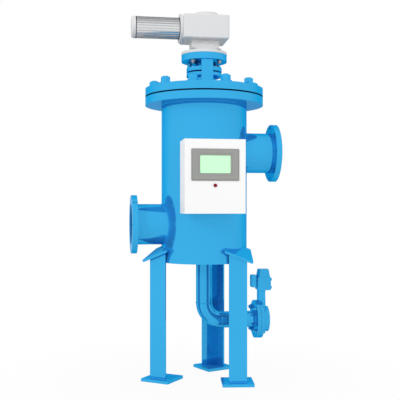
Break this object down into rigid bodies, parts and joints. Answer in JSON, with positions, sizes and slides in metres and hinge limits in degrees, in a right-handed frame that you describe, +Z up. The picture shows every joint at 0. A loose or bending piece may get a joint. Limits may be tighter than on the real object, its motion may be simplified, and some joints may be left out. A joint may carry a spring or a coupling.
{
  "type": "self cleaning filter",
  "caption": "Upright blue filter vessel on angle legs with a gear-motor brush drive on its bolted cover, side flanged nozzles, a control cabinet and a powered drain valve.",
  "frame": {"origin": "on the vessel axis at floor level, centre of the anchor hole circle", "axes": "+Z up along the vessel, +X towards the outlet nozzle, -Y towards the control cabinet"},
  "size_m": [0.8, 0.7561, 1.986],
  "materials": {
    "blue_paint": "satin",
    "gasket_rubber": "matte",
    "stainless_steel": "brushed",
    "zinc_plate": "satin",
    "bronze": "satin",
    "packing": "matte",
    "gear_grey": "satin",
    "motor_grey": "semi-gloss",
    "cabinet_white": "satin",
    "panel_grey": "matte",
    "screen_green": "gloss",
    "button_red": "gloss",
    "device_grey": "matte",
    "bristle": "matte"
  },
  "bodies": {
    "vessel": {"vessel_shell": "blue_paint", "bottom_plate": "blue_paint", "body_flange": "blue_paint", "cover": "blue_paint", "cover_studs": "blue_paint", "cover_nuts": "blue_paint", "cover_washers": "blue_paint", "inlet_pipe": "blue_paint", "inlet_flange": "blue_paint", "outlet_pipe": "blue_paint", "outlet_flange": "blue_paint", "legs": "blue_paint", "leg_caps": "blue_paint", "base_plates": "blue_paint", "partition_ring": "blue_paint", "stuffing_box": "blue_paint", "gland_flange": "blue_paint", "gland_studs": "blue_paint", "yoke": "blue_paint", "cabinet_brackets": "blue_paint", "drain_riser": "blue_paint", "drain_elbow": "blue_paint", "drain_run": "blue_paint", "drain_flange": "blue_paint", "valve_body": "blue_paint", "valve_bolts": "blue_paint", "actuator_neck": "blue_paint", "actuator_housing": "blue_paint", "actuator_cap": "blue_paint", "actuator_motor": "blue_paint", "cover_gasket": "gasket_rubber", "valve_seat": "gasket_rubber", "bearing_spider": "stainless_steel", "filter_screen": "stainless_steel", "drive_bolts": "zinc_plate", "cabinet_hinges": "zinc_plate", "mounting_plate": "zinc_plate", "bottom_bush": "bronze", "shaft_packing": "packing", "output_housing": "gear_grey", "gearbox_housing": "gear_grey", "gearbox_cap": "gear_grey", "motor_flange": "gear_grey", "motor_end_cap": "gear_grey", "motor_frame": "motor_grey", "cabinet_box": "cabinet_white", "control_devices": "device_grey"},
    "rotor": {"drive_shaft": "stainless_steel", "shaft_coupling": "blue_paint", "output_shaft": "stainless_steel", "brush_frame": "stainless_steel", "brush_strips": "bristle"},
    "valve": {"valve_disc": "stainless_steel", "valve_stem": "stainless_steel"},
    "door": {"cabinet_door": "cabinet_white", "door_seal": "gasket_rubber", "operator_panel": "panel_grey", "panel_screen": "screen_green", "contact_block": "device_grey"},
    "button": {"push_button": "button_red"}
  },
  "joints": [
    {"name": "rotor_spin", "type": "hinge", "parent": "vessel", "child": "rotor", "pos_m": [0, 0, 1.3], "axis": [0, 0, 1], "continuous": true},
    {"name": "valve_turn", "type": "hinge", "parent": "vessel", "child": "valve", "pos_m": [0.32, 0, 0.312], "axis": [0, 0, 1], "range_deg": [0, 90]},
    {"name": "door_swing", "type": "hinge", "parent": "vessel", "child": "door", "pos_m": [0.1345, -0.4067, 1.081], "axis": [0, 0, 1], "range_deg": [0, 120]},
    {"name": "button_press", "type": "slide", "parent": "door", "child": "button", "axis": [0, 1, 0], "range_m": [0, 0.003], "stiffness_N_per_m": 500, "springref_m": -0.001}
  ]
}
